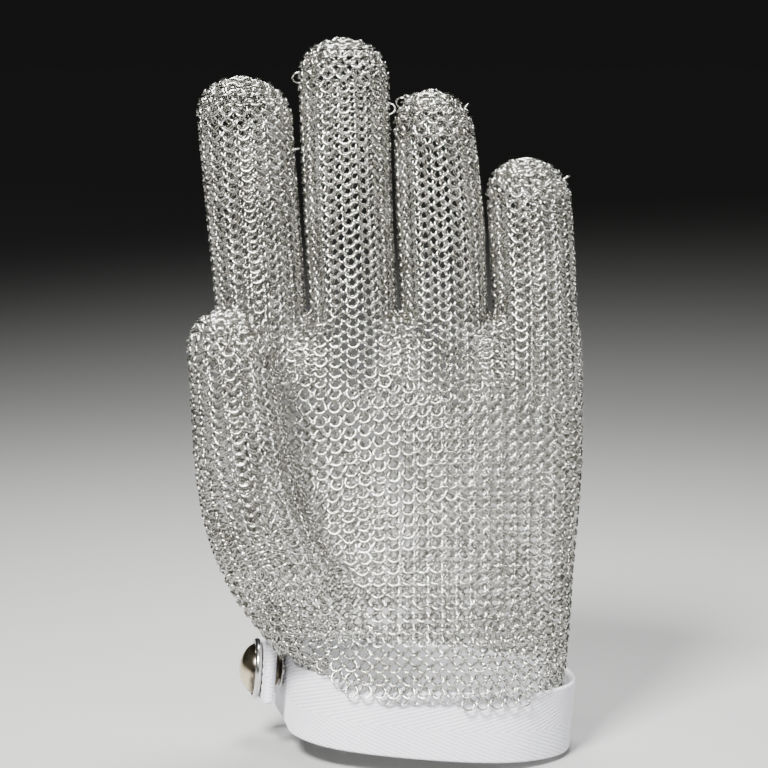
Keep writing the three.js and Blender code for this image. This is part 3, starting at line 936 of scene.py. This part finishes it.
def turned(name, profile):
    """Turned piece from (radius, height) points, heights along the snap's axis.

    A profile that starts on the axis has to end there. Any other is a ring's, and closed.
    """
    centre, axis, ahead, up = snap_frame()
    line = smooth_line(profile, PROFILE_STEP)
    radius, height = np.clip(line[:, 0], 0, None), line[:, 1]
    is_ring = radius[0] > POLE
    if not is_ring:
        radius[0] = radius[-1] = POLE
    turn = np.linspace(0, 2 * math.pi, TURN_STEPS, endpoint=False)
    out = np.cos(turn)[:, None] * ahead + np.sin(turn)[:, None] * up
    points = centre + axis * height[:, None, None] + out[None] * radius[:, None, None]
    count = len(line)
    i, j = grid(count if is_ring else count - 1, TURN_STEPS)
    after, above = (j + 1) % TURN_STEPS, (i + 1) % count
    sides = np.column_stack([
        i * TURN_STEPS + j, above * TURN_STEPS + j,
        above * TURN_STEPS + after, i * TURN_STEPS + after])
    first = np.arange(TURN_STEPS)
    ends = [] if is_ring else [np.array([first, count * TURN_STEPS - 1 - first])]
    piece = new_object(name, to_row(points).reshape(-1, 3), sides, *ends)
    set_values(piece, "turn_radius", np.repeat(radius / radius.max(), TURN_STEPS))
    return piece


def stitches(name, places, ways, normal):
    """Lock stitches: short arched threads that dive into the tape at both ends."""
    bends, sides = STITCH_BENDS, STITCH_SIDES
    share = np.linspace(-1, 1, bends)
    arch = STITCH_RADIUS * STITCH_ARCH * (1 - share**4) - STITCH_RADIUS * STITCH_SINK
    thin = STITCH_RADIUS * (1 - STITCH_TAPER * share**8)
    turn = turns(sides)
    normal = normal / np.linalg.norm(normal)
    points = []
    for place, way in zip(places, unit(ways)):
        side = np.cross(normal, way)
        middle = place + way * (share * STITCH_LENGTH / 2)[:, None] + normal * arch[:, None]
        ring = np.cos(turn)[:, None] * side + np.sin(turn)[:, None] * normal
        points.append(middle[:, None] + ring[None] * thin[:, None, None])
    i, j = grid(bends - 1, sides)
    after = (j + 1) % sides
    one = np.column_stack([
        i * sides + j, i * sides + after, (i + 1) * sides + after, (i + 1) * sides + j])
    ends = np.array([np.arange(sides)[::-1], (bends - 1) * sides + np.arange(sides)])
    offset = np.arange(len(places))[:, None, None] * bends * sides
    return new_object(name, np.array(points).reshape(-1, 3),
                      (one + offset).reshape(-1, 4), (ends + offset).reshape(-1, sides))


def finish_piece(piece, material, body, slot, *nodes):
    piece.data.materials.append(material)
    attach(piece, body)
    if nodes:
        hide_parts(*nodes)


def build_cuff():
    cloth = white_tape()
    sewing = thread()
    line = smooth_line(STRAP_LINE, TAPE_STEP)
    low = np.zeros(len(line))
    strap, strap_length = tape("strap_tape", line, low, STRAP_WIDTH, STRAP_THICK)
    finish_piece(strap, cloth, "hand", "webbing", "wrist_strap")

    line = smooth_line([*TAB_ROOT, *TAB_LINE[1:], *TAB_FOLD], TAPE_STEP)
    low = TAB_LOW - TAB_SLOPE * line[:, 1]
    tab, tab_length = tape("tab_tape", line, low, TAB_WIDTH, TAB_THICK)
    tab.data.materials.append(cloth)
    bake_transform(tab, "hand", "tab", start=to_row(TAB_HELD) * MM, end=to_row(TAB_FREE) * MM)
    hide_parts("strap_tab")

    root = smooth_line(TAB_ROOT, GUIDE_STEP)
    corners = np.array(LAP_BOX)[LAP_PATH]
    places, ways = [], []
    for a, b in zip(corners[:-1], corners[1:]):
        count = max(1, round(np.linalg.norm(b - a) / STITCH_PITCH))
        for k in range(count):
            x, z = a + (b - a) * (k + 0.5) / count
            y = np.interp(-x, -root[:, 0], root[:, 1]) + LAP_LIFT
            places.append((x, y, z))
            ways.append((b[0] - a[0], 0, b[1] - a[1]))
    box = stitches("lap_stitches", to_row(places), to_row(ways), np.array([0, 1.0, 0]))
    finish_piece(box, sewing, "hand", "webbing")

    low = TAB_LOW - TAB_SLOPE * FOLD_Y
    heights = np.arange(FOLD_MARGIN, TAB_WIDTH - 1, STITCH_PITCH)
    places = np.array([(FOLD_X, FOLD_Y, low + height + FOLD_RISE) for height in heights])
    ways = np.tile(to_row(UP), (len(places), 1))
    row = stitches("fold_stitches", to_row(places), ways, np.array([-1.0, -FOLD_SLANT, 0]))
    finish_piece(row, sewing, "tab", "webbing")


def build_snap():
    silver, champagne_reflection, brass = (0.80, 0.79, 0.76), (0.80, 0.70, 0.47), (0.72, 0.60, 0.36)
    # The cap's gold crown and champagne slope are a painted warm reflection; the dark band in its groove is
    # painted shade and grime.
    nickel = plated("nickel_with_painted_reflection_and_shade", (0.74, 0.66, 0.48), champagne_reflection, silver, (0.12, 0.3))
    plain = plated("nickel", silver, silver, silver, (0.18, 0.35))
    yellow = plated("brass", brass, brass, brass, (0.25, 0.45))
    cap = turned("snap_cap_shell", [
        (0, -1.3), (1.2, -1.3), (1.55, -1.2), (1.6, 0), (1.7, 1.1), (3, 1.2), (7.6, 1.25),
        (8.8, 1.25), (9.4, 1.5), (9.62, 2.1), (9.45, 2.75), (8.95, 3.1), (8.4, 3.0), (8.1, 2.65),
        (7.85, 2.7), (7.75, 3.2), (7.2, 4.3), (6.2, 5.3), (4.6, 6.3), (2.8, 7.0), (1.4, 7.3),
        (0.6, 7.3), (0, 7.25)])
    finish_piece(cap, nickel, "tab", "snap_nickel", "snap_cap")
    foot = SOCKET_FOOT - SNAP_REACH
    socket = turned("snap_socket_ring", [
        (3.5, foot + 0.3), (3.7, foot), (4.2, foot), (4.7, foot + 0.15), (5.1, foot + 0.8),
        (5.4, foot + 1.6), (6.1, -2.1), (6.4, -1.7), (6.35, -1.3), (6, -1.2), (4, -1.2),
        (3.6, -1.3), (3.4, -1.8), (3.7, foot + 1.3), (3.5, foot + 0.3)])
    finish_piece(socket, yellow, "tab", "snap_brass", "snap_socket")
    foot = STRAP_THICK / 2 + STUD_GAP - SNAP_REACH
    stud = turned("snap_stud_head", [
        (0, foot - 1.2), (1.6, foot - 1.2), (1.7, foot - 0.1), (3, foot), (5.3, foot),
        (5.6, foot + 0.25), (5.4, foot + 0.5), (3.6, foot + 0.55), (2.6, foot + 0.7),
        (2.3, foot + 1.2), (2.35, foot + 1.7), (2.75, foot + 2.2), (2.7, foot + 2.6),
        (2.2, foot + 2.85), (1, foot + 2.8), (0, foot + 2.6)])
    finish_piece(stud, plain, "hand", "snap_nickel", "snap_stud")
    head = -SNAP_REACH - STRAP_THICK / 2 - POST_GAP
    post = turned("snap_post_head", [
        (0, head - 0.95), (2.5, head - 0.95), (4.6, head - 0.8), (5.4, head - 0.5),
        (5.6, head - 0.1), (5.2, head), (2.5, head), (1.65, head + 0.1), (1.6, head + 1.5),
        (1, head + 1.9), (0, head + 1.9)])
    finish_piece(post, plain, "hand", "snap_nickel", "snap_post")


# ---- Build --------------------------------------------------------------------------------

STEEL = ring_steel()
JOINTS = {joint["name"]: joint for joint in frame["joints"]}


def blend_mail(piece, joint, digit, before, after):
    """Mail turns from one body to the next along the digit, ring by ring."""
    facts = JOINTS[joint]
    z = facts["pos_m"][2] / MM
    pivot, way = SHAPES[digit].centre(z)[0], SHAPES[digit].way(z)
    start = (pivot - way * before) * MM
    end = (pivot + way * after) * MM
    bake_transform(piece, facts["parent"], facts["child"], start=tuple(start), end=tuple(end))
    weights = np.empty(len(piece.data.vertices), np.float32)
    attribute = piece.data.attributes["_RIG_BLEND"].data
    attribute.foreach_get("value", weights)
    whole = weights.reshape(-1, RING_POINTS).mean(axis=1).repeat(RING_POINTS)
    attribute.foreach_set("value", whole)


def build_digit(digit, rings):
    """A digit's rings in one piece for each joint, each from mid section to mid section."""
    parts = ["base" if digit == "thumb" else "knuckle", "middle", "tip"]
    heights = [JOINTS[f"{digit}_{part}"]["pos_m"][2] / MM for part in parts]
    middles = [(a + b) / 2 for a, b in zip(heights[:-1], heights[1:])]
    bounds = [-math.inf, *middles, math.inf]
    for k, part in enumerate(parts):
        inside = (rings.points[:, 2] >= bounds[k]) & (rings.points[:, 2] < bounds[k + 1])
        piece = ring_piece(f"{digit}_{part}_rings", rings.pick(inside))
        piece.data.materials.append(STEEL)
        before = min(BEND_REACH, heights[k] - bounds[k])
        after = min(BEND_REACH, bounds[k + 1] - heights[k])
        blend_mail(piece, f"{digit}_{part}", digit, before, after)
        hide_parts(f"{digit}_{part}_mail", f"{digit}_{part}_fold")


def loose_rings(rings, places):
    """Rings that stand on edge at a tip, where the sheet's ends were joined."""
    nearest = [int(np.linalg.norm(rings.points - place, axis=1).argmin()) for place in places]
    normals = rings.normals[nearest]
    points = rings.points[nearest] + normals * EAR_RISE
    fronts = unit(np.cross(unit(rings.ways[nearest]) + EAR_TURN, normals))
    return Rings(points, fronts, normals, rings.rows[nearest])


def join(first, second):
    return Rings(*(np.concatenate([getattr(first, k), getattr(second, k)])
                   for k in ("points", "normals", "ways", "rows")))


def build_mail():
    fingers = {name: finger_rings(name) for name in FINGERS}
    for first, second in zip(FINGERS[:-1], FINGERS[1:]):
        fingers[second] = clear_of(fingers[second], fingers[first])
    thumb = thumb_rings()
    palm = palm_rings()
    for rings in [*fingers.values(), thumb]:
        palm = clear_of(palm, rings)
    for name, rings in fingers.items():
        build_digit(name, join(rings, loose_rings(rings, EARS[name])))
    build_digit("thumb", thumb)
    front = palm.points[:, 1] < 0
    left = palm.points[:, 0] < PALM_CENTRE_X
    for name, mask, node in [
        ("palm_rings_thumb_side", front & left, "palm_mail"),
        ("palm_rings_outer_side", front & ~left, "palm_mail"),
        ("back_rings_thumb_side", ~front & left, "back_mail"),
        ("back_rings_outer_side", ~front & ~left, "back_mail"),
    ]:
        piece = ring_piece(name, palm.pick(mask))
        piece.data.materials.append(STEEL)
        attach(piece, "hand")
        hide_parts(node)


build_mail()
build_cuff()
build_snap()


# ---- Stage --------------------------------------------------------------------------------

FLOOR_HALF = 20000.0
FLOOR_DROP = 0.001  # metres under the glove

# The sky's strength rises with the height of the direction. Low down it is as dark as the far
# floor, so that no line shows at the horizon.
SKY_COLOUR = (0.021, 0.022, 0.021, 1)
SKY_STRENGTH = {"From Min": 0.1, "From Max": 0.6, "To Min": 0.44, "To Max": 1.15}

# Name, place and size in metres, power in watts, colour
LAMPS = [
    ("key", (-0.42, -0.85, 1.05), 0.35, 7.8, (1, 0.995, 0.98)),
    ("fill", (0.75, -0.95, 0.6), 0.4, 1.0, (0.97, 0.985, 1)),
    ("top", (0.05, 0.15, 1.15), 0.4, 2.8, (1, 1, 1)),
]
LAMP_AIM = Vector((-0.01, 0, 0.11))
LAMP_SPREAD = math.radians(60)

CAMERA_AIM = Vector((-0.0114, 0, 0.111))
CAMERA_AWAY = 0.75
CAMERA_RISE = math.radians(8)
SENSOR = 36
PIXELS_PER_MM = 3.25
PICTURE_WIDTH = 768


def face(thing, way):
    """Turns a lamp or camera to look along a direction."""
    thing.rotation_euler = way.to_track_quat("-Z", "Y").to_euler()


def build_stage():
    corners = [(-1, -1, 0), (1, -1, 0), (1, 1, 0), (-1, 1, 0)]
    floor = new_object("floor", np.array(corners) * FLOOR_HALF, [(0, 1, 2, 3)])
    floor.location.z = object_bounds()[0].z - FLOOR_DROP
    n = Nodes("pale_floor")
    n.set(Base_Color=(0.4, 0.4, 0.395, 1), Roughness=0.9)
    floor.data.materials.append(n.material)
    world = bpy.data.worlds.new("studio")
    bpy.context.scene.world = world
    world.use_nodes = True
    sky = world.node_tree
    background = sky.nodes["Background"]
    background.inputs["Color"].default_value = SKY_COLOUR
    direction = sky.nodes.new("ShaderNodeTexCoord")
    split = sky.nodes.new("ShaderNodeSeparateXYZ")
    strength = sky.nodes.new("ShaderNodeMapRange")
    for socket, value in SKY_STRENGTH.items():
        strength.inputs[socket].default_value = value
    sky.links.new(direction.outputs["Generated"], split.inputs["Vector"])
    sky.links.new(split.outputs["Z"], strength.inputs["Value"])
    sky.links.new(strength.outputs["Result"], background.inputs["Strength"])
    for name, place, size, power, colour in LAMPS:
        light = bpy.data.lights.new(name, "AREA")
        light.shape = "SQUARE"
        light.size = size
        light.energy = power
        light.color = colour
        light.spread = LAMP_SPREAD
        lamp = bpy.data.objects.new(name, light)
        bpy.context.scene.collection.objects.link(lamp)
        lamp.location = place
        face(lamp, LAMP_AIM - lamp.location)


def build_camera():
    data = bpy.data.cameras.new("camera")
    camera = bpy.data.objects.new("camera", data)
    bpy.context.scene.collection.objects.link(camera)
    data.sensor_width = SENSOR
    data.lens = CAMERA_AWAY / MM * PIXELS_PER_MM * SENSOR / PICTURE_WIDTH
    back = Vector((0, -math.cos(CAMERA_RISE), math.sin(CAMERA_RISE)))
    camera.location = CAMERA_AIM + back * CAMERA_AWAY
    face(camera, -back)
    data.clip_start = 0.01
    bpy.context.scene.camera = camera


build_stage()
build_camera()
